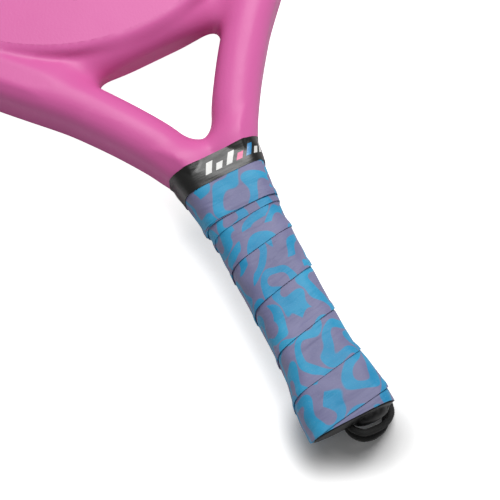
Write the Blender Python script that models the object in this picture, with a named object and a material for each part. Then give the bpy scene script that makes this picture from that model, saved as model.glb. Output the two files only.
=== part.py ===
"""Padel racket, built piece by piece: a bent frame tube with a foam-cored perforated head,
a handle of two glued halves with its wrappings, a butt cap and a knotted wrist cord.

The racket lies flat, back face down on z = 0. +Y runs from the butt to the head, X across.
Stations along the handle are measured from the end of the overgrip and moved by GRIP_END_Y.
"""
import math

import bmesh
import bpy
import numpy as np

MM = 0.001

# Overall sizes
RACKET_LENGTH = 455 * MM
HEAD_WIDTH = 259 * MM
DEPTH = 38 * MM
CAP_DOME = 4.5 * MM  # the cap stands this far out of the overgrip
GAP = 0.3 * MM  # between pieces that touch or are glued

# Head
RIM_WIDTH = 22 * MM
RIM_CORNER = 9 * MM
SKIN_THICKNESS = 1.2 * MM
HOLE_DIAMETER = 11 * MM
HOLE_PITCH = 22 * MM
HOLE_MARGIN = 27 * MM  # from the edge of the core to the nearest hole centre
HOLE_SIDES = 8
CORE_SIDES = 72

# Frame tube
TUBE_WALL = 1.6 * MM
LEG_HALF_WIDTH = 4.75 * MM
LEG_HALF_DEPTH = 9.5 * MM
LEG_CORNER = 3 * MM
LEG_SPREAD = 7.55 * MM  # centre of each leg from the middle
LEG_START = 17 * MM
ARM_START = 106 * MM  # where the legs begin to part
ARMS_JOIN_RIM = math.radians(48)  # from straight down, round the head's centre

# Throat
BRIDGE_THICKNESS = 9.1 * MM  # below the head's core, at the middle
BRIDGE_REACH = 21.6 * MM  # how far its horns run up beside the core
BRIDGE_HORN_INSET = 6 * MM  # its ends stop this far inside the arms' centre lines
BRIDGE_STEP = 1 * MM  # it lies this far under each face
CROTCH = 152 * MM
WEDGE_START = ARM_START + 4 * MM
WEDGE_STEP = 1.2 * MM  # it lies this far under the arms' tops
WEDGE_CORNER = 2 * MM
WEDGE_RINGS = 7

# Handle
OVERGRIP_THICKNESS = 0.8 * MM
BASE_GRIP_THICKNESS = 1.6 * MM
BASE_GRIP_START = 2.8 * MM
BASE_GRIP_END = 126 * MM
OVERGRIP_END = 134 * MM
PALLET_START = 2.8 * MM
TAPE_START = 129.5 * MM
TAPE_END = 141.5 * MM
TAPE_THICKNESS = 0.35 * MM

# Butt cap and cord
CAP_FLANGE = 2.3 * MM
CAP_STEM_WALL = 2.6 * MM
CAP_END_WALL = 3 * MM
# The cap's end, from the tip of its boss to its rim: share of the dome's height, then of the
# rim's half width and half depth, and how far the ring's centre is moved towards +X
CAP_RINGS = [
    (1.0, 0.18, 0.28, 0.46), (0.9, 0.30, 0.42, 0.46), (0.6, 0.38, 0.52, 0.46),
    (0.27, 0.42, 0.56, 0.46), (0.22, 0.93, 0.93, 0.0), (0.1, 0.98, 0.98, 0.0),
]
KNOT_HALF = (4.6 * MM, 3.6 * MM, 5.4 * MM)
KNOT_LUMPS = 5
KNOT_LUMP_SIZE = 0.10
CORD_DIAMETER = 3.6 * MM
CORD_HOLE_CLEARANCE = 1.2 * MM
CORD_EXIT_X = -3 * MM
CORD_EXIT_OFFSET = 3.3 * MM  # of each strand above and below the middle plane

MID_Z = DEPTH / 2
GRIP_END_Y = -RACKET_LENGTH / 2 + CAP_DOME
HEAD_CENTRE = RACKET_LENGTH - CAP_DOME - HEAD_WIDTH / 2
RIM_RADIUS = HEAD_WIDTH / 2 - RIM_WIDTH / 2
CORE_RADIUS = HEAD_WIDTH / 2 - RIM_WIDTH - GAP
BRIDGE_EDGE = HEAD_CENTRE - CORE_RADIUS - BRIDGE_THICKNESS
HOLE_FIELD_RADIUS = CORE_RADIUS - HOLE_MARGIN

# Outer surface of the overgrip: station, half width, half depth
GRIP_PROFILE = [
    (0, 21.9, 15.9), (6, 22.0, 15.9), (13, 21.8, 15.8), (20, 20.8, 15.5), (28, 19.2, 15.0),
    (38, 18.0, 14.6), (60, 17.7, 14.3), (90, 18.1, 14.4), (106, 18.3, 14.8), (118, 19.5, 15.5),
    (130, 21.0, 16.1), (142, 23.3, 16.7),
]
GRIP_CORNER = 10 * MM

# Right-hand leg inside the grip's shoulder: centre x, station, half width, half depth, corner
SHOULDER_STATIONS = [
    (8.3, 116, 5.5, 10.8, 4), (9.8, 126, 6.6, 12.1, 6), (11.0, 134, 8.2, 14.2, 7),
    (12.3, 141.5, 9.0, 15.3, 9),
]

# Right-hand arm from the shoulder to the rim: share of the way out, share of the way up,
# half width, how far it lies under the faces, corner
ARM_WIDE = 11.3
ARM_STATIONS = [
    (0.046, 0.085, 10.8, 2.5, 9.0), (0.111, 0.185, ARM_WIDE, 1.8, 9.5),
    (0.238, 0.334, ARM_WIDE, 1.1, 9.5), (0.381, 0.484, ARM_WIDE, 0.5, 9.5),
    (0.488, 0.584, ARM_WIDE, 0.2, 9.5), (0.709, 0.763, ARM_WIDE, 0.0, 9.5),
]

# The cord's route from one hole of the cap to the other: x, station, height. The heights are
# for this middle plane, and the high ones move with it
CORD_ROUTE_MID = 19 * MM
CORD_ROUTE = [
    (-3.0, 1.2, 22.3), (-1.2, -3.2, 21.8), (2.5, -6.4, 20.6), (7.0, -7.0, 18.6),
    (11.2, -6.7, 15.7), (14.9, -5.6, 12.2), (18.0, -3.8, 8.5), (20.5, -1.0, 5.2),
    (21.8, 4.0, 3.7), (22.1, 9.0, 2.9), (21.7, 14.0, 2.5), (20.8, 18.9, 2.1),
    (19.7, 23.8, 1.9), (18.6, 28.8, 1.9), (17.6, 33.7, 1.9), (16.7, 38.7, 1.9),
    (16.1, 43.7, 1.9), (15.5, 48.7, 1.9), (15.0, 53.7, 1.85), (14.7, 58.8, 1.9),
    (14.4, 63.8, 1.85), (14.3, 68.9, 1.85), (13.7, 73.8, 1.85), (10.7, 77.8, 1.85),
    (5.9, 79.2, 1.9), (1.2, 77.7, 1.85), (-1.7, 73.7, 1.9), (-2.1, 68.7, 1.85),
    (-1.6, 63.6, 1.85), (-0.8, 58.6, 1.85), (0.1, 53.7, 1.85), (1.4, 48.8, 1.9),
    (2.8, 44.0, 1.85), (4.6, 39.2, 1.85), (6.7, 34.7, 1.9), (9.2, 30.3, 1.85),
    (11.6, 25.9, 1.9), (13.6, 21.2, 1.9), (15.3, 16.5, 1.9), (16.6, 11.6, 1.9),
    (17.5, 6.6, 1.9), (17.8, 1.6, 2.1), (16.5, -3.1, 3.3), (13.5, -6.4, 5.5),
    (9.5, -7.9, 8.1), (5.2, -8.3, 10.7), (1.0, -7.0, 13.1), (-2.0, -3.6, 15.1),
    (-3.0, 1.2, 15.7),
]

COLOURS = {
    "paint": ((0.73, 0.17, 0.42, 1), 0.38, 0.0),
    "laminate": ((0.74, 0.18, 0.43, 1), 0.40, 0.0),
    "foam": ((0.04, 0.04, 0.045, 1), 0.85, 0.0),
    "pallet": ((0.10, 0.10, 0.11, 1), 0.7, 0.0),
    "cushion": ((0.02, 0.02, 0.02, 1), 0.75, 0.0),
    "grip_film": ((0.21, 0.24, 0.42, 1), 0.6, 0.0),
    "tape": ((0.01, 0.01, 0.01, 1), 0.25, 0.0),
    "cap": ((0.012, 0.012, 0.012, 1), 0.2, 0.0),
    "cord": ((0.015, 0.015, 0.015, 1), 0.9, 0.0),
}


def clear_scene():
    for obj in list(bpy.data.objects):
        bpy.data.objects.remove(obj, do_unlink=True)


def material(slot):
    found = bpy.data.materials.get(slot)
    if found:
        return found
    colour, roughness, metallic = COLOURS[slot]
    made = bpy.data.materials.new(slot)
    made.use_nodes = True
    shader = made.node_tree.nodes["Principled BSDF"]
    shader.inputs["Base Color"].default_value = colour
    shader.inputs["Roughness"].default_value = roughness
    shader.inputs["Metallic"].default_value = metallic
    return made


def add_object(name, mesh_data, slot=None, smooth_angle=35):
    obj = bpy.data.objects.new(name, mesh_data)
    bpy.context.scene.collection.objects.link(obj)
    if slot:
        mesh_data.materials.append(material(slot))
        mesh_data.shade_smooth()
        mesh_data.set_sharp_from_angle(angle=math.radians(smooth_angle))
    return obj


def mesh_from(name, points, faces):
    mesh = bpy.data.meshes.new(name)
    mesh.from_pydata([tuple(p) for p in points], [], faces)
    work = bmesh.new()
    work.from_mesh(mesh)
    bmesh.ops.recalc_face_normals(work, faces=work.faces)
    work.to_mesh(mesh)
    work.free()
    return mesh


def loft(name, rings, closed_path=False):
    """A closed mesh through rings of equal point counts, with flat ends."""
    count = len(rings[0])
    points = [p for ring in rings for p in ring]
    faces = []
    last = len(rings) if closed_path else len(rings) - 1
    for i in range(last):
        a, b = i * count, ((i + 1) % len(rings)) * count
        for j in range(count):
            k = (j + 1) % count
            faces.append((a + j, a + k, b + k, b + j))
    if not closed_path:
        faces.append(tuple(range(count)))
        end = (len(rings) - 1) * count
        faces.append(tuple(range(end, end + count)))
    return mesh_from(name, points, faces)


def rounded_section(half_width, half_depth, corner, per_corner=3):
    """Points (across, up) of a rounded rectangle, counter-clockwise from the right side."""
    corner = min(corner, half_width * 0.98, half_depth * 0.98)
    points = []
    for quarter in range(4):
        sx = (1, -1, -1, 1)[quarter]
        sz = (1, 1, -1, -1)[quarter]
        for step in range(per_corner + 1):
            turn = math.pi / 2 * (quarter + step / per_corner)
            x = sx * (half_width - corner) + corner * math.cos(turn)
            z = sz * (half_depth - corner) + corner * math.sin(turn)
            points.append((x, z))
    return points


def smooth_path(points, steps):
    """Catmull-Rom curve through rows of numbers, with the given steps between rows."""
    rows = np.array(points, float)
    ends = np.vstack([2 * rows[0] - rows[1], rows, 2 * rows[-1] - rows[-2]])
    out = []
    for i in range(1, len(ends) - 2):
        p0, p1, p2, p3 = ends[i - 1 : i + 3]
        for t in np.arange(steps) / steps:
            out.append(
                0.5 * (2 * p1 + (p2 - p0) * t + (2 * p0 - 5 * p1 + 4 * p2 - p3) * t**2
                       + (3 * p1 - p0 - 3 * p2 + p3) * t**3)
            )
    out.append(rows[-1])
    return out


def station_y(station):
    return GRIP_END_Y + station


def half_frame_stations():
    """Right-hand half of the frame, from the leg's end up to the top of the head:
    centre x, station, half width, half depth and corner radius, in metres."""
    leg = (LEG_SPREAD, LEG_HALF_WIDTH, LEG_HALF_DEPTH, LEG_CORNER)
    rows = [(leg[0], s, *leg[1:]) for s in (LEG_START, (LEG_START + ARM_START) / 2)]
    arm = [(leg[0], ARM_START, *leg[1:])]
    arm += [tuple(v * MM for v in row) for row in SHOULDER_STATIONS]
    foot_x, foot_y = arm[-1][:2]
    join_x = RIM_RADIUS * math.sin(ARMS_JOIN_RIM)
    join_y = HEAD_CENTRE - RIM_RADIUS * math.cos(ARMS_JOIN_RIM)
    for out, up, half_width, step, corner in ARM_STATIONS:
        x, station = foot_x + out * (join_x - foot_x), foot_y + up * (join_y - foot_y)
        arm.append((x, station, half_width * MM, MID_Z - step * MM, corner * MM))
    rim = []
    turns = 18
    for i in range(turns + 1):
        angle = ARMS_JOIN_RIM + (math.pi - ARMS_JOIN_RIM) * i / turns
        x, station = RIM_RADIUS * math.sin(angle), HEAD_CENTRE - RIM_RADIUS * math.cos(angle)
        rim.append((x, station, RIM_WIDTH / 2, MID_Z, RIM_CORNER))
    return [np.array(row) for row in rows] + smooth_path(arm + rim[:1], 2) + [
        np.array(row) for row in rim[1:]
    ]


def frame_rings(grow=0.0):
    """Section rings along the whole frame; grow moves the surface out, or in if negative."""
    half = half_frame_stations()
    mirrored = [row * np.array([-1, 1, 1, 1, 1]) for row in reversed(half[:-1])]
    rows = half + mirrored
    rings = []
    for i, (x, station, half_width, half_depth, corner) in enumerate(rows):
        before, after = rows[max(i - 1, 0)], rows[min(i + 1, len(rows) - 1)]
        along = np.array([after[0] - before[0], after[1] - before[1]])
        along /= np.linalg.norm(along)
        across = np.array([along[1], -along[0]])
        section = rounded_section(half_width + grow, half_depth + grow, max(corner + grow, MM), 2)
        rings.append([
            (x + across[0] * u, station_y(station) + across[1] * u, MID_Z + v) for u, v in section
        ])
    return rings


def make_frame_tube():
    outer, inner = frame_rings(), frame_rings(-TUBE_WALL)
    count, length = len(outer[0]), len(outer)
    points = [p for ring in outer + inner for p in ring]
    faces = []
    for shell in range(2):
        for i in range(length - 1):
            a = (shell * length + i) * count
            for j in range(count):
                k = (j + 1) % count
                face = (a + j, a + k, a + count + k, a + count + j)
                faces.append(face if shell == 0 else face[::-1])
    for i in (0, length - 1):
        a, b = i * count, (length + i) * count
        for j in range(count):
            k = (j + 1) % count
            faces.append((a + j, b + j, b + k, a + k))
    return add_object("frame_tube", mesh_from("frame_tube", points, faces), "paint")


def frame_cutter():
    """The frame's outer solid with the glue gap round it, for cutting what fits to it."""
    cutter = add_object("frame_cutter", loft("frame_cutter", frame_rings(GAP)))
    cutter.hide_render = True
    cutter.display_type = "WIRE"
    return cutter


def prism(name, outline, low, high):
    """Upright solid over a plan outline of (x, station)."""
    rings = [[(x, station_y(s), z) for x, s in outline] for z in (low, high)]
    return loft(name, rings)


def disc_outline(radius, sides):
    turns = [2 * math.pi * i / sides for i in range(sides)]
    return [(radius * math.sin(a), HEAD_CENTRE - radius * math.cos(a)) for a in turns]


def cut(obj, cutter):
    modifier = obj.modifiers.new("cut", "BOOLEAN")
    modifier.operation = "DIFFERENCE"
    modifier.solver = "EXACT"
    modifier.object = cutter


def helper(name, mesh):
    obj = add_object(name, mesh)
    obj.hide_render = True
    obj.display_type = "WIRE"
    return obj


def arm_at(station):
    """Centre x and half depth of the right-hand arm at a station below the rim."""
    rows = np.array(half_frame_stations())
    arm = rows[: int(np.argmax(rows[:, 0] > RIM_RADIUS * math.sin(ARMS_JOIN_RIM)))]
    return np.interp(station, arm[:, 1], arm[:, 0]), np.interp(station, arm[:, 1], arm[:, 3])


def make_throat(frame_solid):
    """The bridge under the head and the wedge where the legs meet, both cut to the frame."""
    levels = [BRIDGE_EDGE + BRIDGE_REACH * share for share in (0, 0.5, 1)]
    right = [(arm_at(s)[0] - BRIDGE_HORN_INSET, s) for s in levels]
    outline = right + [(-x, s) for x, s in reversed(right)]
    mesh = prism("throat_bridge", outline, BRIDGE_STEP, DEPTH - BRIDGE_STEP)
    bridge = add_object("throat_bridge", mesh, "paint")
    core_outline = disc_outline(CORE_RADIUS + GAP, CORE_SIDES)
    cut(bridge, frame_solid)
    cut(bridge, helper("core_room", prism("core_room", core_outline, -MM, DEPTH + MM)))

    rings = []
    for station in np.linspace(WEDGE_START, CROTCH, WEDGE_RINGS):
        half_width, half_depth = arm_at(station)
        section = rounded_section(half_width, half_depth - WEDGE_STEP, WEDGE_CORNER, 1)
        rings.append([(x, station_y(station), MID_Z + z) for x, z in section])
    wedge = add_object("throat_wedge", loft("throat_wedge", rings), "paint")
    cut(wedge, frame_solid)


def hole_centres():
    """Staggered rows of holes inside the hole field."""
    rows = []
    row_pitch = HOLE_PITCH * math.sqrt(3) / 2
    reach = int(HOLE_FIELD_RADIUS / row_pitch) + 1
    for row in range(-reach, reach + 1):
        shift = HOLE_PITCH / 2 * (row % 2)
        for column in range(-reach, reach + 1):
            x, y = column * HOLE_PITCH + shift, row * row_pitch
            if math.hypot(x, y) <= HOLE_FIELD_RADIUS:
                rows.append((x, HEAD_CENTRE + y))
    return rows


def perforated_disc(name, slot, low, high):
    disc = add_object(name, prism(name, disc_outline(CORE_RADIUS, CORE_SIDES), low, high), slot)
    work = bmesh.new()
    for x, station in hole_centres():
        ring = [
            (x + HOLE_DIAMETER / 2 * math.cos(2 * math.pi * i / HOLE_SIDES),
             station_y(station) + HOLE_DIAMETER / 2 * math.sin(2 * math.pi * i / HOLE_SIDES))
            for i in range(HOLE_SIDES)
        ]
        under = [work.verts.new((px, py, low - 2 * MM)) for px, py in ring]
        over = [work.verts.new((px, py, high + 2 * MM)) for px, py in ring]
        work.faces.new(list(reversed(under)))
        work.faces.new(over)
        for i in range(HOLE_SIDES):
            k = (i + 1) % HOLE_SIDES
            work.faces.new((under[i], under[k], over[k], over[i]))
    mesh = bpy.data.meshes.new(name + "_drill")
    work.to_mesh(mesh)
    work.free()
    cut(disc, helper(name + "_drill", mesh))
    return disc


def make_head():
    skin = SKIN_THICKNESS
    perforated_disc("foam_core", "foam", skin + GAP, DEPTH - skin - GAP)
    perforated_disc("face_skin_back", "laminate", 0.0, skin)
    perforated_disc("face_skin_front", "laminate", DEPTH - skin, DEPTH)


def grip_half(station, inset=0.0):
    """Half width and half depth of the handle's outer surface, moved in by inset."""
    stations = [row[0] * MM for row in GRIP_PROFILE]
    width = np.interp(station, stations, [row[1] * MM for row in GRIP_PROFILE])
    depth = np.interp(station, stations, [row[2] * MM for row in GRIP_PROFILE])
    return float(width) - inset, float(depth) - inset


def grip_stations(start, end):
    inner = [row[0] * MM for row in GRIP_PROFILE if start + MM < row[0] * MM < end - MM]
    return [start] + inner + [end]


def grip_ring(station, inset):
    half_width, half_depth = grip_half(station, inset)
    section = rounded_section(half_width, half_depth, GRIP_CORNER - inset)
    return [(x, station_y(station), MID_Z + z) for x, z in section]


def sleeve(name, slot, start, end, outer_inset, inner_inset):
    """A tube round the handle: outer rings one way, inner rings back."""
    stations = grip_stations(start, end)
    rings = [grip_ring(s, outer_inset) for s in stations]
    rings += [grip_ring(s, inner_inset) for s in reversed(stations)]
    return add_object(name, loft(name, rings, closed_path=True), slot)


def make_handle():
    pocket_width = LEG_SPREAD + LEG_HALF_WIDTH + GAP
    pocket_depth = LEG_HALF_DEPTH + GAP
    core_width = LEG_SPREAD - LEG_HALF_WIDTH - GAP
    section = rounded_section(core_width, LEG_HALF_DEPTH, MM, 1)
    core = [[(x, station_y(s), MID_Z + z) for x, z in section] for s in (LEG_START, ARM_START)]
    add_object("handle_core", loft("handle_core", core), "foam")

    inset = OVERGRIP_THICKNESS + BASE_GRIP_THICKNESS + 2 * GAP
    for name, side in (("handle_pallet_front", 1), ("handle_pallet_back", -1)):
        rings = []
        for station in grip_stations(PALLET_START, ARM_START):
            half_width, half_depth = grip_half(station, inset)
            outer = rounded_section(half_width, half_depth, GRIP_CORNER - inset)[:8]
            inner = rounded_section(pocket_width, pocket_depth, LEG_CORNER)[:8]
            outline = [(half_width, GAP / 2)] + outer + [(-half_width, GAP / 2)]
            outline += [(-pocket_width, GAP / 2)] + inner[::-1] + [(pocket_width, GAP / 2)]
            rings.append([(x, station_y(station), MID_Z + side * z) for x, z in outline])
        add_object(name, loft(name, rings), "pallet")

    outer, inner = OVERGRIP_THICKNESS + GAP, OVERGRIP_THICKNESS + GAP + BASE_GRIP_THICKNESS
    sleeve("base_grip", "cushion", BASE_GRIP_START, BASE_GRIP_END, outer, inner)
    sleeve("overgrip", "grip_film", 0.0, OVERGRIP_END, 0.0, OVERGRIP_THICKNESS)
    sleeve("finishing_tape", "tape", TAPE_START, TAPE_END, -GAP - TAPE_THICKNESS, -GAP)


def cap_ring(station, half_width, half_depth, corner, shift=0.0):
    section = rounded_section(half_width, half_depth, corner)
    return [(x + shift, station_y(station), MID_Z + z) for x, z in section]


def rod(name, x, z, radius, start, end, sides=12):
    turns = [2 * math.pi * i / sides for i in range(sides)]
    ring = [(x + radius * math.cos(a), z + radius * math.sin(a)) for a in turns]
    rings = [[(px, station_y(s), pz) for px, pz in ring] for s in (start, end)]
    return loft(name, rings)


def make_cap():
    rim_width, rim_depth = grip_half(0.0, OVERGRIP_THICKNESS + 2 * GAP)
    corner = 0.7 * rim_depth
    rings = [
        cap_ring(-CAP_DOME * out, rim_width * wide, rim_depth * deep, corner * deep, rim_width * shift)
        for out, wide, deep, shift in CAP_RINGS
    ]
    rings.append(cap_ring(0.0, rim_width, rim_depth, corner))
    rings.append(cap_ring(CAP_FLANGE, rim_width, rim_depth, corner))
    stem_width = LEG_SPREAD + LEG_HALF_WIDTH - GAP / 2
    stem_depth = LEG_HALF_DEPTH - GAP / 2
    stem_end = LEG_START - 2 * MM
    room_width, room_depth = stem_width - CAP_STEM_WALL, stem_depth - CAP_STEM_WALL
    rings.append(cap_ring(CAP_FLANGE, stem_width, stem_depth, LEG_CORNER))
    rings.append(cap_ring(stem_end, stem_width, stem_depth, LEG_CORNER))
    rings.append(cap_ring(stem_end, room_width, room_depth, LEG_CORNER))
    rings.append(cap_ring(CAP_END_WALL + GAP, room_width, room_depth, LEG_CORNER))
    cap = add_object("butt_cap", loft("butt_cap", rings), "cap")
    radius = CORD_DIAMETER / 2 + CORD_HOLE_CLEARANCE
    for side, where in ((1, "upper"), (-1, "lower")):
        z = MID_Z + side * CORD_EXIT_OFFSET
        hole = rod("cord_hole_" + where, CORD_EXIT_X, z, radius, -CAP_DOME, CAP_END_WALL + 2 * MM)
        cut(cap, helper("cord_hole_" + where, hole))


def make_knot():
    """Overhand knot that keeps both ends of the cord inside the cap."""
    work = bmesh.new()
    bmesh.ops.create_uvsphere(work, u_segments=14, v_segments=8, radius=1.0)
    middle = station_y(CAP_END_WALL + 2 * GAP + KNOT_HALF[1])
    for vert in work.verts:
        turn = math.atan2(vert.co.x, vert.co.z)
        lump = 1 + KNOT_LUMP_SIZE * math.sin(KNOT_LUMPS * turn)
        vert.co = (
            CORD_EXIT_X + KNOT_HALF[0] * lump * vert.co.x,
            middle + KNOT_HALF[1] * vert.co.y,
            MID_Z + KNOT_HALF[2] * lump * vert.co.z,
        )
    mesh = bpy.data.meshes.new("cord_knot")
    work.to_mesh(mesh)
    work.free()
    add_object("cord_knot", mesh, "cord")


def make_cord():
    curve = bpy.data.curves.new("wrist_cord", "CURVE")
    curve.dimensions = "3D"
    curve.bevel_depth = CORD_DIAMETER / 2
    curve.bevel_resolution = 2
    curve.use_fill_caps = True
    points = []
    for x, station, height in CORD_ROUTE:
        lift = (MID_Z - CORD_ROUTE_MID) * min(height * MM / CORD_ROUTE_MID, 1)
        points.append((x * MM, station_y(station * MM), height * MM + lift))
    route = smooth_path(points, 2)
    spline = curve.splines.new("POLY")
    spline.points.add(len(route) - 1)
    for point, place in zip(spline.points, route):
        point.co = (*place, 1)
    curve.materials.append(material("cord"))
    obj = bpy.data.objects.new("wrist_cord", curve)
    bpy.context.scene.collection.objects.link(obj)


def main():
    clear_scene()
    make_frame_tube()
    make_throat(frame_cutter())
    make_head()
    make_handle()
    make_cap()
    make_knot()
    make_cord()


main()
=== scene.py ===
import math

import bpy
import numpy as np
from mathutils import Matrix, Vector


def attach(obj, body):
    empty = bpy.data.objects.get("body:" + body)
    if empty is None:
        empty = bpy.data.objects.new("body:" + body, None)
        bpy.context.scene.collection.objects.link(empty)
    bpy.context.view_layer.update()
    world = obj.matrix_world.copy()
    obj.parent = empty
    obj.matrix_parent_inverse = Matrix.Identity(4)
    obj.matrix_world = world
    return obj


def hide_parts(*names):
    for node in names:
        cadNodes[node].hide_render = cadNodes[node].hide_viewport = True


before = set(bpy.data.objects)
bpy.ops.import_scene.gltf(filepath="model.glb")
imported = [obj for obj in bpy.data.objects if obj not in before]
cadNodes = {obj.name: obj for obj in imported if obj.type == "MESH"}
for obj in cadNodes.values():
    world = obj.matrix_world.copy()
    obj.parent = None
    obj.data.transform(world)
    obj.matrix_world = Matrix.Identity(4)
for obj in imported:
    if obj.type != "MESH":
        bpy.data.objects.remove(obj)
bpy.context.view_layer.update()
buttY = -0.2230  # row y of the overgrip's butt end
midZ = 0.019
print("frame loaded:", len(cadNodes), "CAD nodes")


cameraSet = {
    "turn": 27.2,
    "height": 74.7,
    "distance": 0.970,
    "focal": 2052.0,
    "aim": (-0.0043, -0.1273, 0.019),
    "frameSize": 500.0,
}


def makeCamera(spec):
    turn, height = math.radians(spec["turn"]), math.radians(spec["height"])
    ahead = Vector((math.sin(turn) * math.cos(height), math.cos(turn) * math.cos(height), -math.sin(height)))
    right = Vector((math.cos(turn), -math.sin(turn), 0))
    up = right.cross(ahead)
    data = bpy.data.cameras.new("camera")
    data.sensor_width = 36.0
    data.lens = spec["focal"] / spec["frameSize"] * data.sensor_width
    data.clip_start, data.clip_end = 0.01, 20
    camera = bpy.data.objects.new("camera", data)
    place = Vector(spec["aim"]) - ahead * spec["distance"]
    turned = Matrix((right, up, -ahead)).transposed()
    camera.matrix_world = Matrix.Translation(place) @ turned.to_4x4()
    bpy.context.scene.collection.objects.link(camera)
    bpy.context.scene.camera = camera


makeCamera(cameraSet)


class Wire:  # a shader socket that can be used in sums
    def __init__(self, shade, socket):
        self.shade, self.socket = shade, socket

    def __add__(self, other):
        return self.shade.maths("ADD", self, other)

    def __sub__(self, other):
        return self.shade.maths("SUBTRACT", self, other)

    def __mul__(self, other):
        return self.shade.maths("MULTIPLY", self, other)

    def __truediv__(self, other):
        return self.shade.maths("DIVIDE", self, other)

    def __rsub__(self, other):
        return self.shade.maths("SUBTRACT", other, self)

    __radd__, __rmul__ = __add__, __mul__

    def power(self, other):
        return self.shade.maths("POWER", self, other)

    def size(self):
        return self.shade.maths("ABSOLUTE", self, 0.0)

    def least(self, other):
        return self.shade.maths("MINIMUM", self, other)

    def most(self, other):
        return self.shade.maths("MAXIMUM", self, other)

    def fraction(self):
        return self.shade.maths("FRACT", self, 0.0)

    def steps(self):
        return self.shade.maths("FLOOR", self, 0.0)

    def sine(self):
        return self.shade.maths("SINE", self, 0.0)

    def fade(self, low, high):  # from 0 at low to 1 at high, or the other way round if low is the larger
        made = self.shade.node("ShaderNodeMapRange", {"interpolation_type": "SMOOTHSTEP"}, {"Value": self})
        first, last = (low, high) if low < high else (high, low)
        made.inputs["From Min"].default_value = first
        made.inputs["From Max"].default_value = last
        if low > high:
            made.inputs["To Min"].default_value = 1.0
            made.inputs["To Max"].default_value = 0.0
        return Wire(self.shade, made.outputs["Result"])


class Shade:  # one material's node tree
    def __init__(self, name):
        self.material = bpy.data.materials.new(name)
        self.material.use_nodes = True
        self.tree = self.material.node_tree
        self.main = self.tree.nodes["Principled BSDF"]
        self.where = self.node("ShaderNodeTexCoord", {}, {}).outputs["Object"]

    def node(self, kind, settings, values):
        made = self.tree.nodes.new(kind)
        for name, value in settings.items():
            setattr(made, name, value)
        for name, value in values.items():
            self.put(made.inputs[name], value)
        return made

    def put(self, socket, value):
        if isinstance(value, Wire):
            value = value.socket
        if isinstance(value, bpy.types.NodeSocket):
            self.tree.links.new(value, socket)
        elif isinstance(value, tuple) and len(value) == 3 and socket.type == "RGBA":
            socket.default_value = (*value, 1.0)
        else:
            socket.default_value = value

    def maths(self, operation, first, second):
        made = self.node("ShaderNodeMath", {"operation": operation}, {0: first, 1: second})
        return Wire(self, made.outputs[0])

    def mix(self, factor, first, second):
        made = self.node("ShaderNodeMix", {"data_type": "RGBA"}, {})
        for socket, value in zip((made.inputs[0], made.inputs[6], made.inputs[7]), (factor, first, second)):
            self.put(socket, value)
        return Wire(self, made.outputs[2])

    def place(self, scale=(1, 1, 1), shift=(0, 0, 0), turn=(0, 0, 0), source=None):
        made = self.node("ShaderNodeMapping", {}, {"Vector": source or self.where})
        made.inputs["Scale"].default_value = scale
        made.inputs["Location"].default_value = shift
        made.inputs["Rotation"].default_value = turn
        return Wire(self, made.outputs["Vector"])

    def axes(self, source=None):
        made = self.node("ShaderNodeSeparateXYZ", {}, {"Vector": source or self.where})
        return [Wire(self, made.outputs[i]) for i in range(3)]

    def noise(self, scale, detail=2.0, roughness=0.5, source=None, flat=False):
        made = self.node("ShaderNodeTexNoise", {"noise_dimensions": "2D" if flat else "3D"}, {
            "Vector": source or self.where, "Scale": scale, "Detail": detail, "Roughness": roughness,
        })
        return Wire(self, made.outputs["Fac"])

    def cells(self, scale):
        made = self.node("ShaderNodeTexVoronoi", {}, {"Vector": self.where, "Scale": scale})
        return Wire(self, made.outputs["Distance"])

    def bump(self, height, distance, strength=1.0, under=None):
        values = {"Height": height, "Distance": distance, "Strength": strength}
        if under is not None:
            values["Normal"] = under
        return Wire(self, self.node("ShaderNodeBump", {}, values).outputs["Normal"])

    def finish(self, **values):
        for name, value in values.items():
            self.put(self.main.inputs[name.replace("_", " ")], value)
        return self.material


def addMesh(name, points, faces, material=None, smooth=True, uv=None):
    mesh = bpy.data.meshes.new(name)
    mesh.from_pydata(np.asarray(points).tolist(), [], [tuple(int(i) for i in f) for f in faces])
    if uv is not None:
        layer = mesh.uv_layers.new(name="strip")
        corner = np.zeros(len(mesh.loops), np.int32)
        mesh.loops.foreach_get("vertex_index", corner)
        layer.data.foreach_set("uv", np.asarray(uv, float)[corner].reshape(-1))
    obj = bpy.data.objects.new(name, mesh)
    bpy.context.scene.collection.objects.link(obj)
    if smooth:
        mesh.shade_smooth()
    if material:
        mesh.materials.append(material)
    mesh.update()
    return obj


def gridFaces(rows, columns, loopRows=False, loopColumns=False):  # quads over points numbered row by row
    r = np.arange(rows if loopRows else rows - 1)
    c = np.arange(columns if loopColumns else columns - 1)
    r, c = (v.ravel() for v in np.meshgrid(r, c, indexing="ij"))
    r2, c2 = (r + 1) % rows, (c + 1) % columns
    return np.stack([r * columns + c, r * columns + c2, r2 * columns + c2, r2 * columns + c], 1)


def setSmoothNormals(obj, angle):
    obj.data.set_sharp_from_angle(angle=math.radians(angle))


def smoothSteps(value, low, high):
    t = np.clip((value - low) / (high - low), 0, 1)
    return t * t * (3 - 2 * t)


def curveThrough(rows, steps):  # Catmull-Rom curve through rows of numbers
    rows = np.array(rows, float)
    ends = np.vstack([2 * rows[0] - rows[1], rows, 2 * rows[-1] - rows[-2]])
    t = (np.arange(steps) / steps)[:, None]
    out = []
    for i in range(1, len(ends) - 2):
        a, b, c, d = ends[i - 1 : i + 3]
        bend, twist = 2 * a - 5 * b + 4 * c - d, 3 * b - a - 3 * c + d
        out.append(0.5 * (2 * b + (c - a) * t + bend * t**2 + twist * t**3))
    out.append(rows[-1:])
    return np.vstack(out)


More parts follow.
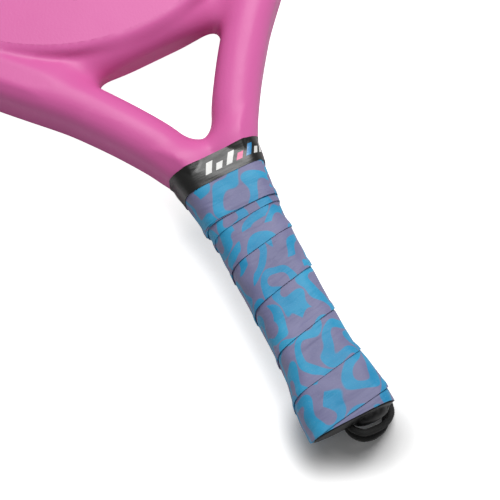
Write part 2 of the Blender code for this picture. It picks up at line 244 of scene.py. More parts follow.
cordSet = {
    "diameter": 0.0036,
    "route": [
        (-3.0, 1.2, 22.3), (-1.2, -3.2, 21.8), (2.5, -6.4, 20.6), (7.0, -7.0, 18.6),
        (11.2, -6.7, 15.7), (14.9, -5.6, 12.2), (18.0, -3.8, 8.5), (20.5, -1.0, 5.2),
        (21.8, 4.0, 3.7), (22.1, 9.0, 2.9), (21.7, 14.0, 2.5), (20.8, 18.9, 2.1),
        (19.7, 23.8, 1.9), (18.6, 28.8, 1.9), (17.6, 33.7, 1.9), (16.7, 38.7, 1.9),
        (16.1, 43.7, 1.9), (15.5, 48.7, 1.9), (15.0, 53.7, 1.85), (14.7, 58.8, 1.9),
        (14.4, 63.8, 1.85), (14.3, 68.9, 1.85), (13.7, 73.8, 1.85), (10.7, 77.8, 1.85),
        (5.9, 79.2, 1.9), (1.2, 77.7, 1.85), (-1.7, 73.7, 1.9), (-2.1, 68.7, 1.85),
        (-1.6, 63.6, 1.85), (-0.8, 58.6, 1.85), (0.1, 53.7, 1.85), (1.4, 48.8, 1.9),
        (2.8, 44.0, 1.85), (4.6, 39.2, 1.85), (6.7, 34.7, 1.9), (9.2, 30.3, 1.85),
        (11.6, 25.9, 1.9), (13.6, 21.2, 1.9), (15.3, 16.5, 1.9), (16.6, 11.6, 1.9),
        (17.5, 6.6, 1.9), (17.8, 1.6, 2.1), (16.5, -3.1, 3.3), (13.5, -6.4, 5.5),
        (9.5, -7.9, 8.1), (5.2, -8.3, 10.7), (1.0, -7.0, 13.1), (-2.0, -3.6, 15.1),
        (-3.0, 1.2, 15.7),
    ],
    "steps": 10,
    "sides": 40,
    "strands": 10,
    "relief": 0.00036,
    "braidPitch": 0.0056,
}


def cordMaterial():
    shade = Shade("cord_braid")
    fibre = shade.noise(2600, 3, 0.6)
    dust = shade.noise(70, 3, 0.55)
    first, second, _ = shade.axes(shade.node("ShaderNodeUVMap", {"uv_map": "strip"}, {}).outputs["UV"])
    # 1 on the strand tops, 0 in the gaps between strands
    strands = first.sine().size() * second.sine().size()
    colour = shade.mix(fibre.fade(0.35, 0.7), (0.012, 0.012, 0.012), (0.042, 0.043, 0.043))
    # painted shade: the gaps between the braid's strands are darkened to near black
    colour = shade.mix(strands.fade(0.05, 0.6), (0.0015, 0.0015, 0.0015), colour)
    colour = shade.mix(dust.fade(0.55, 0.8) * 0.35, colour, (0.035, 0.036, 0.036))
    return shade.finish(
        Base_Color=colour,
        Roughness=0.72 + fibre * 0.18,
        Normal=shade.bump(fibre, 0.00012),
    )


def makeCord(spec):
    knots = [(x / 1000, buttY + s / 1000, z / 1000) for x, s, z in spec["route"]]
    path = curveThrough(knots, spec["steps"])
    ahead = np.gradient(path, axis=0)
    ahead /= np.linalg.norm(ahead, axis=1)[:, None]
    run = np.concatenate([[0], np.cumsum(np.linalg.norm(np.diff(path, axis=0), axis=1))])
    side = np.cross(ahead[0], (0.0, 0.0, 1.0))
    sides = []
    for i in range(len(path)):
        side = side - ahead[i] * (side @ ahead[i])
        side = side / np.linalg.norm(side)
        sides.append(side)
    sides = np.array(sides)
    ups = np.cross(ahead, sides)
    turn = np.linspace(0, 2 * np.pi, spec["sides"], endpoint=False)
    first = spec["strands"] * turn[None, :] / 2 + 2 * np.pi * run[:, None] / spec["braidPitch"] * 2
    second = spec["strands"] * turn[None, :] / 2 - 2 * np.pi * run[:, None] / spec["braidPitch"] * 2
    relief = np.abs(np.sin(first)) * np.abs(np.sin(second))
    radius = spec["diameter"] / 2 - spec["relief"] * (1 - relief)
    points = (
        path[:, None, :]
        + sides[:, None, :] * (radius * np.cos(turn))[:, :, None]
        + ups[:, None, :] * (radius * np.sin(turn))[:, :, None]
    )
    faces = gridFaces(len(path), len(turn), loopColumns=True)
    phases = np.stack([first, second], -1).reshape(-1, 2)
    obj = addMesh("wrist_cord_braid", points.reshape(-1, 3), faces, cordMaterial(), uv=phases)
    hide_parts("wrist_cord")
    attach(obj, "root")
    print("cord length, mm:", round(float(run[-1]) * 1000, 1))


makeCord(cordSet)


headSet = {
    "centre": 321.0,  # millimetres along the handle
    "rimLine": 118.5,
    "halfDepth": 19.0,
    "plateRadius": 111.0,
    "plateGrows": 8.0,
    "plateCorner": 5.0,
    "cutRadius": 106.0,
    "bridgeEdge": 203.4,
    "bridgeCorner": 13.2,
    "crotch": 152.0,
    "lowEnd": 118.0,
    "cell": 1.5,
    "arms": [  # x, station, half width, half depth, corner
        (8.3, 112, 5.5, 10.8, 4), (9.8, 126, 7.0, 12.1, 6), (11.2, 134, 8.2, 13.6, 8),
        (12.9, 141.5, 9.5, 15.3, 9.4), (15.9, 150.0, 10.8, 16.6, 10.4), (20.7, 160.0, 11.3, 17.3, 10.8),
        (30.3, 175.0, 11.3, 18.0, 10.8), (41.2, 190.0, 11.3, 18.5, 10.6), (49.3, 200.0, 11.3, 18.8, 10.4),
        (66.0, 218.0, 11.3, 19.0, 10.0), (88.06, 241.7, 11.0, 19.0, 9.4),
    ],
}


def frameLine(spec):  # the right-hand half, up to the top of the head
    start = math.radians(48)
    turns = np.linspace(start, math.pi, 40)[1:]
    rim = [
        (spec["rimLine"] * math.sin(a), spec["centre"] - spec["rimLine"] * math.cos(a), 11.0, 19.0, 9.0)
        for a in turns
    ]
    return np.vstack([curveThrough(spec["arms"], 4), rim])


def nearestOnLine(line, x, station):  # distance to the line, and the line's sizes there
    best = np.full(x.shape, 1e9)
    sizes = np.zeros((*x.shape, 3))
    for a, b in zip(line[:-1], line[1:]):
        ahead = b[:2] - a[:2]
        share = ((x - a[0]) * ahead[0] + (station - a[1]) * ahead[1]) / (ahead @ ahead)
        share = np.clip(share, 0, 1)
        away = np.hypot(x - a[0] - share * ahead[0], station - a[1] - share * ahead[1])
        nearer = away < best
        best[nearer] = away[nearer]
        sizes[nearer] = a[2:] + share[nearer, None] * (b[2:] - a[2:])
    return best, sizes


def roundedEdge(away, height, halfWide, halfHigh, corner):  # distance to a bar of rounded section
    across, upward = away - (halfWide - corner), height - (halfHigh - corner)
    outside = np.hypot(np.maximum(across, 0), np.maximum(upward, 0))
    return outside + np.minimum(np.maximum(across, upward), 0) - corner


def blendShapes(first, second, reach):
    near = np.maximum(reach - np.abs(first - second), 0) / reach
    return np.minimum(first, second) - near * near * reach / 4


class HeadShape:  # signed distance to the painted body, in millimetres from the mid-plane
    def __init__(self, spec):
        self.spec, self.line = spec, frameLine(spec)

    def plan(self, x, station):
        spec = self.spec
        away, sizes = nearestOnLine(self.line, np.abs(x), station)
        outward, up = np.abs(x), station - spec["centre"]
        radius = np.hypot(outward, up)
        angle = np.degrees(np.arctan2(outward, -up))
        plate = radius - spec["plateRadius"] - spec["plateGrows"] * smoothSteps(angle, 36, 60)
        armX = np.interp(station, self.line[:44, 1], self.line[:44, 0])
        return {"away": away, "sizes": sizes, "plate": plate, "armX": armX, "outward": outward, "angle": angle}

    def distance(self, plan, station, height):
        spec = self.spec
        high = np.abs(height)
        wide, deep, corner = (plan["sizes"][..., i] for i in range(3))
        tube = roundedEdge(plan["away"], high, wide, deep, corner)
        plate = roundedEdge(plan["plate"] + 50, high, 50.0, spec["halfDepth"], spec["plateCorner"])
        horn = smoothSteps(plan["outward"], 10, 40)
        bridgeHigh = 17.6 - 4.2 * horn
        bridge = roundedEdge(spec["bridgeEdge"] - station + 40, high, 40.0, bridgeHigh, spec["bridgeCorner"])
        bridge = np.maximum(bridge, np.maximum(plan["outward"] - plan["armX"], station - spec["centre"]))
        wedge = roundedEdge(station - spec["crotch"] + 40, high, 40.0, deep - 0.4, 8.0)
        wedge = np.maximum(wedge, plan["outward"] - plan["armX"])
        body = blendShapes(tube, wedge, 9.0)
        body = blendShapes(body, bridge, 11.0)
        body = blendShapes(body, plate, 3.0)
        body = np.maximum(body, high - spec["halfDepth"])
        return np.maximum(body, spec["lowEnd"] - station)


def surfaceNet(values, origin, cell):  # points and quads of the zero surface of a field of samples
    inside = values < 0
    shape = np.array(values.shape) - 1
    total = np.zeros((*shape, 3), np.float32)
    count = np.zeros(shape, np.float32)
    corner = [(i, j, k) for i in (0, 1) for j in (0, 1) for k in (0, 1)]

    def part(array, offset):
        return array[tuple(slice(o, o + n) for o, n in zip(offset, shape))]

    for a in corner:
        for axis in range(3):
            if a[axis]:
                continue
            b = list(a)
            b[axis] = 1
            va, vb = part(values, a), part(values, b)
            crossed = part(inside, a) != part(inside, b)
            share = np.where(crossed, va / np.where(va == vb, 1, va - vb), 0)
            for i in range(3):
                total[..., i] += crossed * (a[i] + (share if i == axis else 0))
            count += crossed
    used = count > 0
    number = np.full(shape, -1, np.int64)
    number[used] = np.arange(used.sum())
    where = np.stack(np.nonzero(used), 1) + total[used] / count[used][:, None]
    points = origin + where * cell
    quads = []
    for axis in range(3):
        low = tuple(slice(1, -1) if i != axis else slice(0, -1) for i in range(3))
        high = tuple(slice(1, -1) if i != axis else slice(1, None) for i in range(3))
        flip = inside[low]
        edge = np.stack(np.nonzero(flip != inside[high]), 1)
        outward = flip[tuple(edge.T)]
        u, v = [i for i in range(3) if i != axis]
        base = edge.copy()
        base[:, u] += 1
        base[:, v] += 1
        around = []
        for du, dv in ((-1, -1), (0, -1), (0, 0), (-1, 0)):
            spot = base.copy()
            spot[:, u] += du
            spot[:, v] += dv
            around.append(number[tuple(spot.T)])
        quad = np.stack(around, 1)
        if axis == 1:
            outward = ~outward
        quad[~outward] = quad[~outward][:, ::-1]
        quads.append(quad)
    return points, np.vstack(quads)


def paintMaterial():
    shade = Shade("pink_paint")
    cloud = shade.noise(14, 3, 0.5)
    fine = shade.noise(900, 2, 0.5)
    speck = shade.noise(2600, 2, 0.6)
    worn = shade.noise(46, 4, 0.62)
    colour = shade.mix(cloud.fade(0.3, 0.7), (0.735, 0.135, 0.410), (0.780, 0.155, 0.445))
    colour = shade.mix(worn.fade(0.60, 0.80) * 0.22, colour, (0.83, 0.24, 0.52))
    colour = shade.mix(speck.fade(0.72, 0.8) * 0.25, colour, (0.50, 0.09, 0.27))
    peel = shade.bump(fine, 0.00006)
    return shade.finish(
        Base_Color=colour,
        Roughness=0.40 + cloud * 0.10 + worn.fade(0.5, 0.8) * 0.08,
        Normal=peel,
        Specular_IOR_Level=0.34,
        Coat_Weight=0.04,
        Coat_Roughness=0.3,
    )


paint = paintMaterial()


def makeBody(spec):
    shape = HeadShape(spec)
    cell = spec["cell"]
    x = np.arange(-132, 132 + cell, cell)
    station = np.arange(spec["lowEnd"] - 3, 454, cell)
    height = np.arange(-21, 21 + cell, cell)
    planX, planS = np.meshgrid(x, station, indexing="ij")
    plan = shape.plan(planX, planS)
    for key in plan:
        plan[key] = plan[key][:, :, None]
    values = shape.distance(plan, planS[:, :, None], height[None, None, :])
    points, quads = surfaceNet(values, np.array([x[0], station[0], height[0]]), cell)
    for _ in range(3):  # settle the points on the exact surface
        step = 0.05
        around = []
        for shift in ((0, 0, 0), (step, 0, 0), (0, step, 0), (0, 0, step)):
            p = points + shift
            around.append(shape.distance(shape.plan(p[:, 0], p[:, 1]), p[:, 1], p[:, 2]))
        slope = np.stack([a - around[0] for a in around[1:]], 1) / step
        length = np.maximum((slope**2).sum(1), 0.25)
        move = slope * (around[0] / length)[:, None]
        points = points - np.clip(move, -0.8, 0.8)
    away = np.hypot(points[:, 0], points[:, 1] - spec["centre"])
    centre = away[quads].mean(1)
    quads = quads[centre > spec["cutRadius"]]
    ends = np.sort(np.concatenate([quads[:, [0, 1]], quads[:, [1, 2]], quads[:, [2, 3]], quads[:, [3, 0]]]), 1)
    pairs, uses = np.unique(ends, axis=0, return_counts=True)
    border = pairs[uses == 1]
    onCut = np.unique(border[away[border].mean(1) < spec["cutRadius"] + 3])
    scale = spec["cutRadius"] / away[onCut]
    points[onCut, 0] *= scale
    points[onCut, 1] = spec["centre"] + (points[onCut, 1] - spec["centre"]) * scale
    # a wall down from each cut edge to the middle plane
    drop = {int(v): len(points) + i for i, v in enumerate(onCut)}
    lower = points[onCut].copy()
    lower[:, 2] = 0
    points = np.vstack([points, lower])
    wall = [(a, b, drop[int(b)], drop[int(a)]) for a, b in border if int(a) in drop and int(b) in drop]
    used, packed = np.unique(np.concatenate([quads.ravel(), np.array(wall).ravel()]), return_inverse=True)
    quads = packed.reshape(-1, 4)
    points = points[used]
    placed = np.stack([points[:, 0], points[:, 1] + buttY * 1000, points[:, 2] + midZ * 1000], 1) / 1000
    obj = addMesh("painted_frame", placed, quads, paint)
    setSmoothNormals(obj, 60)
    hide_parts("frame_tube", "throat_bridge", "throat_wedge")
    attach(obj, "root")
    print("painted frame:", len(quads), "quads")


makeBody(headSet)


holeSet = {"pitch": 22.0, "radius": 5.5, "field": 80.2, "sides": 40}


def holeCentres(spec, centre):
    rowPitch = spec["pitch"] * math.sqrt(3) / 2
    reach = int(spec["field"] / rowPitch) + 1
    found = []
    for row in range(-reach, reach + 1):
        shift = spec["pitch"] / 2 * (row % 2)
        for column in range(-reach, reach + 1):
            x, y = column * spec["pitch"] + shift, row * rowPitch
            if math.hypot(x, y) <= spec["field"]:
                found.append((x, centre + y))
    return found


def perforatedPlate(name, radius, low, high, edge, material):  # heights and edge bevel in millimetres
    curve = bpy.data.curves.new(name, "CURVE")
    curve.dimensions, curve.fill_mode = "2D", "BOTH"
    curve.extrude = (high - low) / 2000 - edge / 1000
    curve.bevel_depth = edge / 1000
    curve.offset = -edge / 1000
    curve.bevel_resolution = 1
    rings = [(0.0, headSet["centre"], radius, 240)]
    rings += [(x, s, holeSet["radius"], holeSet["sides"]) for x, s in holeCentres(holeSet, headSet["centre"])]
    for x, station, size, sides in rings:
        spline = curve.splines.new("POLY")
        spline.points.add(sides - 1)
        spline.use_cyclic_u = True
        for i, point in enumerate(spline.points):
            a = 2 * math.pi * i / sides
            point.co = ((x + size * math.cos(a)) / 1000, buttY + (station + size * math.sin(a)) / 1000, 0, 1)
    helper = bpy.data.objects.new(name + "_outline", curve)
    bpy.context.scene.collection.objects.link(helper)
    bpy.context.view_layer.update()
    mesh = bpy.data.meshes.new_from_object(helper.evaluated_get(bpy.context.evaluated_depsgraph_get()))
    bpy.data.objects.remove(helper)
    mesh.transform(Matrix.Translation((0, 0, (low + high) / 2000)))
    mesh.materials.clear()
    mesh.materials.append(material)
    obj = bpy.data.objects.new(name, mesh)
    bpy.context.scene.collection.objects.link(obj)
    mesh.shade_smooth()
    setSmoothNormals(obj, 30)
    return obj


def foamMaterial():
    shade = Shade("core_foam")
    poreDentsAndShade = shade.cells(1500)
    cloud = shade.noise(120, 2)
    colour = shade.mix(cloud, (0.018, 0.018, 0.02), (0.045, 0.045, 0.048))
    # painted shade: the pore dents are darkened towards black
    colour = shade.mix(poreDentsAndShade.fade(0.25, 0.05) * 0.6, colour, (0.006, 0.006, 0.007))
    return shade.finish(
        Base_Color=colour, Roughness=0.82 + cloud * 0.1, Normal=shade.bump(poreDentsAndShade, 0.00015),
    )


foam = foamMaterial()
skinLap, foamInset = 0.25, -0.3  # how far the discs reach past the painted body's cut edge
plates = [
    ("face_front", "face_skin_front", "laminate", 36.8, 38.01, 0.03, paint),
    ("face_back", "face_skin_back", "laminate", -0.01, 1.2, 0.03, paint),
    ("head_foam", "foam_core", "foam", 1.2, 36.8, 0.02, foam),
]
for name, node, slotName, low, high, edge, material in plates:
    radius = headSet["cutRadius"] + (foamInset if node == "foam_core" else skinLap)
    plate = perforatedPlate(name, radius, low, high, edge, material)
    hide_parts(node)
    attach(plate, "root")
print("head plates done")


gripSet = {
    "stations": (0, 6, 13, 20, 28, 38, 60, 90, 106, 118, 130, 142),
    "halfWidths": (21.9, 22.0, 21.8, 20.8, 19.2, 18.0, 17.7, 18.1, 18.3, 19.5, 21.0, 23.3),
    "halfDepths": (15.9, 15.9, 15.8, 15.5, 15.0, 14.6, 14.3, 14.4, 14.8, 15.5, 16.1, 16.7),
    "corner": 10.0,
    "flatSoftness": 0.22,
    "endSlope": 4.2,
    "stripWidth": 25.0,
    "film": 0.4,
    "tile": 13.5,  # side of one square of the printed arcs
    "turns": (-1.3, 7.15),
    "edges": [  # turn number, station of the strip's butt-side edge at the top of the handle
        (-2, -42.5), (-1, -20.0), (0, 2.5), (1, 24.0), (2, 46.6), (3, 70.0), (4, 92.0), (5, 107.5), (6, 112.0),
        (7, 112.2), (8, 112.2),
    ],
    "lift": 0.5,  # how far the strip's butt-side edge stands out over the turn below
    "tuck": 0.25,
    "perTurn": 120,
    "across": 20,
}


def sectionPoint(angle, wide, deep):  # angle is from the top towards +X
    corner = gripSet["corner"]
    soft = gripSet["flatSoftness"]
    x = (wide - corner) * np.tanh(np.sin(angle) / soft) + corner * np.sin(angle)
    z = (deep - corner) * np.tanh(np.cos(angle) / soft) + corner * np.cos(angle)
    return x, z


def ringTable():  # angles that share the handle's girth out evenly
    angle = np.linspace(0, 2 * np.pi, 2001)
    x, z = sectionPoint(angle, 17.6, 14.5)
    run = np.concatenate([[0], np.cumsum(np.hypot(np.diff(x), np.diff(z)))])
    return run / run[-1], angle, run[-1]


ringShare, ringAngle, girth = ringTable()
gripProfile = curveThrough(list(zip(gripSet["stations"], gripSet["halfWidths"], gripSet["halfDepths"])), 8)


def gripSurface(share, station, inset):  # share of the way round from the top towards +X
    angle = np.interp(np.mod(share, 1), ringShare, ringAngle)
    wide = np.interp(station, gripProfile[:, 0], gripProfile[:, 1]) - inset
    deep = np.interp(station, gripProfile[:, 0], gripProfile[:, 2]) - inset
    x, z = sectionPoint(angle, wide, deep)
    return np.stack([x / 1000, buttY + (station + 0 * x) / 1000, midZ + z / 1000], -1)


def stripEdge(turn):
    keys = np.array(gripSet["edges"], float)
    curve = curveThrough(keys, 12)
    return np.interp(turn, curve[:, 0], curve[:, 1])


def endSlope(upward):  # how far the butt's end stands back, from -1 at its back to 1 at its front
    return gripSet["endSlope"] * (1 - smoothSteps(upward, -1.0, 0.3))


def gripMaterial():
    shade = Shade("overgrip_film")
    strip = shade.node("ShaderNodeUVMap", {"uv_map": "strip"}, {}).outputs["UV"]
    warp = shade.node("ShaderNodeTexNoise", {"noise_dimensions": "2D"}, {
        "Vector": strip, "Scale": 0.07, "Detail": 0.0,
    })
    bent = shade.node("ShaderNodeVectorMath", {"operation": "MULTIPLY_ADD"}, {
        0: warp.outputs["Color"], 1: (11.0, 11.0, 0.0), 2: strip,
    }).outputs["Vector"]
    size = 1 / gripSet["tile"]
    tile = shade.place(scale=(size, size, 1.0), shift=(0.35, 0.2, 0.0), turn=(0.0, 0.0, 0.3), source=bent)
    whole = shade.node("ShaderNodeVectorMath", {"operation": "FLOOR"}, {0: tile}).outputs["Vector"]
    chance = shade.node("ShaderNodeTexWhiteNoise", {"noise_dimensions": "2D"}, {"Vector": whole})
    flip, missing, _ = shade.axes(chance.outputs["Color"])
    across, along, _ = shade.axes(tile)
    across = (across.fraction() - flip.fade(0.499, 0.501)).size()
    along = along.fraction()
    first = ((across * across + along * along).power(0.5) - 0.5).size()
    across, along = 1 - across, 1 - along
    second = ((across * across + along * along).power(0.5) - 0.5).size()
    blue = first.least(second + missing.fade(0.699, 0.701)).fade(0.205, 0.160)
    cloud = shade.noise(38, 3, 0.55)
    weave = shade.noise(1400, 2, 0.55)
    crease = shade.noise(1.0, 3, 0.6, source=shade.place(scale=(0.03, 0.11, 1.0), source=strip), flat=True)
    mauve = shade.mix(cloud.fade(0.3, 0.7), (0.180, 0.180, 0.335), (0.235, 0.228, 0.400))
    azure = shade.mix(cloud.fade(0.25, 0.75), (0.008, 0.258, 0.510), (0.040, 0.395, 0.665))
    colour = shade.mix(blue, mauve, azure)
    colour = shade.mix(weave.fade(0.5, 0.8) * 0.12, colour, (0.42, 0.46, 0.58))
    rough = 0.50 + cloud * 0.10 + weave * 0.05
    normal = shade.bump(crease.fade(0.35, 0.75), 0.0007, strength=0.5)
    normal = shade.bump(weave, 0.00004, under=normal)
    return shade.finish(Base_Color=colour, Roughness=rough, Normal=normal)


def makeOvergrip(spec):
    first, last = spec["turns"]
    turn = np.linspace(first, last, int((last - first) * spec["perTurn"]) + 1)
    across = np.linspace(0, 1, spec["across"] + 1)
    edge = stripEdge(turn)
    low = np.maximum(edge, 0.0)
    high = np.clip(edge + spec["stripWidth"], low + 0.2, 135.0)
    station = low[:, None] + (high - low)[:, None] * across[None, :]
    slope = endSlope(np.cos(2 * np.pi * turn))[:, None]
    station = station + slope * (1 - smoothSteps(station, 0, 16))
    fromEdge = station - edge[:, None]
    layer = np.interp(turn, [0, 4.9, 6.0, 7.2], [0.45, 0.45, 0.15, -0.25])[:, None]
    lifted = spec["lift"] * (1 - smoothSteps(fromEdge, 2.0, 5.0))
    tucked = spec["tuck"] * smoothSteps(fromEdge, 21.0, 23.0) * (turn < 5)[:, None]
    inset = layer - lifted + tucked
    wave = 0.10 * np.sin(turn * 37.0)[:, None] * np.sin(fromEdge * 0.5 + turn[:, None] * 11)
    wave = wave + 0.07 * np.sin(turn * 83.0 + 1.3)[:, None] * np.cos(fromEdge * 0.35)
    points = gripSurface(turn[:, None], station, inset + wave)
    inner = gripSurface(turn[:, None], station, inset + wave + spec["film"])
    rows, columns = station.shape
    length = turn * girth
    uv = np.stack([np.broadcast_to(length[:, None], station.shape), fromEdge], -1).reshape(-1, 2)
    allPoints = np.vstack([points.reshape(-1, 3), inner.reshape(-1, 3)])
    top = gridFaces(rows, columns)
    under = top[:, ::-1] + rows * columns
    ring = np.concatenate([
        np.arange(columns), np.arange(1, rows) * columns + columns - 1,
        (rows - 1) * columns + np.arange(columns - 2, -1, -1), np.arange(rows - 2, 0, -1) * columns,
    ])
    after = np.roll(ring, -1)
    sides = np.stack([ring, ring + rows * columns, after + rows * columns, after], 1)
    faces = np.vstack([top, under, sides])
    obj = addMesh("overgrip_strip", allPoints, faces, gripMaterial(), uv=np.vstack([uv, uv]))
    setSmoothNormals(obj, 50)
    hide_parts("overgrip")
    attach(obj, "root")
    print("overgrip strip:", rows * columns * 2, "points")


makeOvergrip(gripSet)


tapeSet = {"start": 129.6, "end": 141.6, "girth": 116.0, "around": 240, "along": 14}


def tapeMaterial():
    shade = Shade("black_tape")
    strip = shade.node("ShaderNodeUVMap", {"uv_map": "strip"}, {}).outputs["UV"]
    around, along, _ = shade.axes(strip)
    block = ((around + 8.0) / 58.0).fraction() * 58.0
    lean = block - along * 0.42
    step = (lean / 3.9).fraction()
    number = (lean / 3.9).steps()
    bar = (step - 0.42).size().fade(0.31, 0.27) * (along - 6.4).size().fade(2.75, 2.6)
    bar = bar * lean.fade(-0.05, 0.05) * lean.fade(31.3, 31.15)
    short = (number * 2.7).sine().fade(0.2, 0.21) * (along - 6.4).fade(0.3, 0.45)
    bar = bar * (1 - short)
    isPink = (number - 3.0).size().fade(0.5, 0.4)
    isBlue = (number - 4.0).size().fade(0.5, 0.4)
    ink = shade.mix(isPink, (0.80, 0.80, 0.78), (0.85, 0.10, 0.30))
    ink = shade.mix(isBlue, ink, (0.02, 0.24, 0.52))
    smear = shade.noise(90, 3, 0.5)
    colour = shade.mix(smear, (0.006, 0.006, 0.006), (0.014, 0.014, 0.013))
    colour = shade.mix(bar, colour, ink)
    crinkle = shade.noise(1.0, 3, 0.55, source=shade.place(scale=(0.06, 0.25, 1.0), source=strip), flat=True)
    return shade.finish(
        Base_Color=colour,
        Roughness=0.28 + smear * 0.14,
        Normal=shade.bump(crinkle, 0.0003),
        Coat_Weight=0.12,
        Coat_Roughness=0.12,
    )


def pushedOut(shape, places, least):  # at least this far from the painted body, in millimetres
    flat = places.reshape(-1, 3)
    local = (flat - (0, buttY, midZ)) * 1000
    step, around = 0.05, []
    for shift in ((0, 0, 0), (step, 0, 0), (0, 0, step)):
        p = local + shift
        around.append(shape.distance(shape.plan(p[:, 0], p[:, 1]), p[:, 1], p[:, 2]))
    slope = np.stack([around[1] - around[0], 0 * around[0], around[2] - around[0]], 1) / step
    slope /= np.maximum(np.linalg.norm(slope, axis=1), 0.3)[:, None]
    return (flat + slope * np.maximum(least - around[0], 0)[:, None] / 1000).reshape(places.shape)


def makeTape(spec):
    share = np.linspace(0.5, 1.5, spec["around"], endpoint=False)
    along = np.linspace(spec["start"], spec["end"], spec["along"])
    wave = 0.06 * np.sin(share * 2 * np.pi * 9)[None, :] * np.sin((along - spec["start"]) * 0.6)[:, None]
    closing = 0.5 * smoothSteps(along, 136, 141.6)[:, None]
    outer = gripSurface(share[None, :], along[:, None], wave - 0.55 + closing)
    shape = HeadShape(headSet)
    for _ in range(3):  # where the frame is wider, the tape lies over it
        outer = pushedOut(shape, outer, 0.30)
    middle = np.array([0, 0, midZ])
    inner = outer + (middle - outer) * np.array([0.016, 0, 0.022])
    rows, columns = len(along), len(share)
    points = np.vstack([outer.reshape(-1, 3), inner[::-1].reshape(-1, 3)])
    faces = gridFaces(rows * 2, columns, loopRows=True, loopColumns=True)
    uv = np.broadcast_arrays(share[None, :] * spec["girth"], along[:, None] - spec["start"])
    uv = np.stack(uv, -1).reshape(-1, 2)
    uv = np.vstack([uv, uv.reshape(rows, columns, 2)[::-1].reshape(-1, 2)])
    obj = addMesh("finishing_tape_band", points, faces, tapeMaterial(), uv=uv)
    setSmoothNormals(obj, 50)
    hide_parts("finishing_tape")
    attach(obj, "root")


makeTape(tapeSet)


capSet = {
    "half": (20.6, 14.6),
    "lip": 1.2,  # how far the cap's end stands out, without its boss
    "boss": 3.3,
    "bossAt": (9.4, 0.0),
    "bossHalf": (9.0, 9.0),
    "holes": ((-3.0, 3.3), (-3.0, -3.3)),
    "holeRadius": 2.6,
    "holeDepth": 4.0,
    "skirt": 6.0,
}


def capMaterial():
    shade = Shade("cap_rubber")
    scuff = shade.noise(160, 4, 0.6)
    fine = shade.noise(1500, 2)
    colour = shade.mix(scuff.fade(0.35, 0.7), (0.006, 0.006, 0.0065), (0.016, 0.016, 0.017))
    return shade.finish(
        Base_Color=colour,
        Roughness=0.34 + scuff * 0.16,
        Normal=shade.bump(fine, 0.00004),
        Specular_IOR_Level=0.16,
        Coat_Weight=0.05,
        Coat_Roughness=0.10,
    )


def makeCap(spec):
    around, levels = 160, 60
    angle = np.linspace(0, 2 * np.pi, around, endpoint=False)
    rows = [(1.0, spec["skirt"]), (1.0, 0.6)]
    rows += [(math.cos(lean) ** 0.6, -spec["lip"] * math.sin(lean)) for lean in np.linspace(0, 1.2, 10)]
    inner = np.linspace(rows[-1][0], 0.0, levels)[1:]
    rows += [(spread, -spec["lip"] * (1 - 0.07 * spread)) for spread in inner]
    points = []
    for spread, out in rows:
        square = 0.78 + 0.22 * (1 - spread)
        x = spec["half"][0] * spread * np.sign(np.cos(angle)) * np.abs(np.cos(angle)) ** square
        z = spec["half"][1] * spread * np.sign(np.sin(angle)) * np.abs(np.sin(angle)) ** square
        (bossX, bossZ), (wide, deep) = spec["bossAt"], spec["bossHalf"]
        away = np.hypot((x - bossX) / wide, (z - bossZ) / deep)
        dip = -spec["boss"] * np.sqrt(1 - np.minimum(away, 1) ** 2) ** 0.9
        for holeX, holeZ in spec["holes"]:
            away = np.hypot(x - holeX, z - holeZ)
            hole = 1 - smoothSteps(away, spec["holeRadius"] - 0.9, spec["holeRadius"] + 0.3)
            dip = dip + spec["holeDepth"] * hole
        dip = dip * (out < 0)
        back = endSlope(z / spec["half"][1]) * (out < 2)
        points.append(np.stack([x / 1000, buttY + (out + dip + back) / 1000, midZ + z / 1000], 1))
    faces = gridFaces(len(rows), around, loopColumns=True)
    obj = addMesh("butt_cap_dome", np.vstack(points), faces, capMaterial())
    setSmoothNormals(obj, 50)
    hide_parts("butt_cap")
    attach(obj, "root")


makeCap(capSet)
print("handle dressed")


def plainMaterial(name, dark, light, rough, grain, bumpSize):
    shade = Shade(name)
    cloud = shade.noise(60, 3, 0.55)
    fine = shade.noise(grain, 2, 0.55)
    colour = shade.mix(cloud, dark, light)
    colour = shade.mix(fine.fade(0.55, 0.8) * 0.3, colour, tuple(0.5 * v for v in dark))
    return shade.finish(Base_Color=colour, Roughness=rough + cloud * 0.1, Normal=shade.bump(fine, bumpSize))


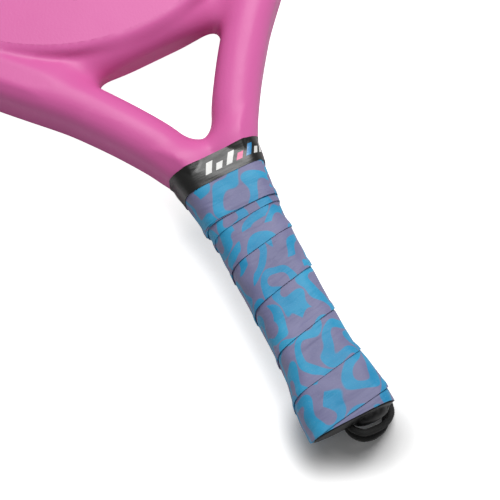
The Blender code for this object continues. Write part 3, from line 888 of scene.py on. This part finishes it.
innerSet = [  # nodes, finish, dark and light colour, roughness, grain, bump
    (("handle_core",), "handle_foam", (0.03, 0.03, 0.032), (0.05, 0.05, 0.055), 0.8, 1400, 0.0001),
    (
        ("handle_pallet_front", "handle_pallet_back"),
        "pallet_plastic", (0.09, 0.09, 0.10), (0.12, 0.12, 0.13), 0.55, 1000, 0.00005,
    ),
    (("base_grip",), "cushion_grip", (0.014, 0.014, 0.015), (0.026, 0.026, 0.027), 0.7, 1600, 0.0001),
    (("cord_knot",), "knot_cord", (0.010, 0.010, 0.011), (0.022, 0.022, 0.023), 0.8, 2400, 0.0001),
]
for nodeNames, *finish in innerSet:
    material = plainMaterial(*finish)
    for nodeName in nodeNames:
        slots = cadNodes[nodeName].data.materials
        slots.clear()
        slots.append(material)


stageSet = {"floorSize": 6.0, "lampPlace": (0.42, 0.30, 1.22), "lampSize": 0.72, "lampPower": 15.0, "sky": 0.23}


def makeStage(spec):
    half = spec["floorSize"] / 2
    corners = [(x, y, -0.0002) for x, y in ((-half, -half), (half, -half), (half, half), (-half, half))]
    floor = addMesh("floor", corners, [(0, 1, 2, 3)], smooth=False)
    shade = Shade("pale_floor")
    x, y, _ = shade.axes()
    speck = shade.noise(40, 2)
    # lift: 1 on the head side, where painted light makes the floor white in full; the floor's own colour is
    # darker there
    lift = y.fade(-0.16, -0.06)
    # an oval around the butt, turned with the handle, where the painted light fades out and only the rendered
    # shadow is left
    east, north = x - 0.0002, y + 0.2256
    sideways = (east * 0.889 - north * 0.457) / 1.5
    downward = east * 0.457 + north * 0.889
    away = (sideways * sideways + downward * downward).power(0.5)
    # painted light: a camera-only glow on the floor, 0.6 outside the butt's oval and full on the head side
    paintedFloorLight = (away.fade(0.011, 0.029) * 0.60).most(lift)
    seen = Wire(shade, shade.node("ShaderNodeLightPath", {}, {}).outputs["Is Camera Ray"])
    pale = shade.mix(speck, (0.88, 0.88, 0.88), (0.90, 0.90, 0.90))
    shade.finish(
        Base_Color=shade.mix(lift, pale, (0.7, 0.7, 0.7)),
        Roughness=0.9,
        Emission_Color=shade.mix(paintedFloorLight * seen, (0, 0, 0), (1, 1, 1)),
    )
    shade.main.inputs["Emission Strength"].default_value = 1.0
    floor.data.materials.append(shade.material)

    lamp = bpy.data.lights.new("softbox", "AREA")
    lamp.energy, lamp.size = spec["lampPower"], spec["lampSize"]
    lampObj = bpy.data.objects.new("softbox", lamp)
    bpy.context.scene.collection.objects.link(lampObj)
    place = Vector(spec["lampPlace"])
    lampObj.location = place
    lampObj.rotation_euler = (Vector((0, -0.08, 0)) - place).to_track_quat("-Z", "Y").to_euler()

    world = bpy.data.worlds.new("studio")
    bpy.context.scene.world = world
    world.use_nodes = True
    world.node_tree.nodes["Background"].inputs["Color"].default_value = (1, 1, 1, 1)
    world.node_tree.nodes["Background"].inputs["Strength"].default_value = spec["sky"]
    bpy.context.scene.view_settings.view_transform = "Standard"


makeStage(stageSet)


print("stage done")
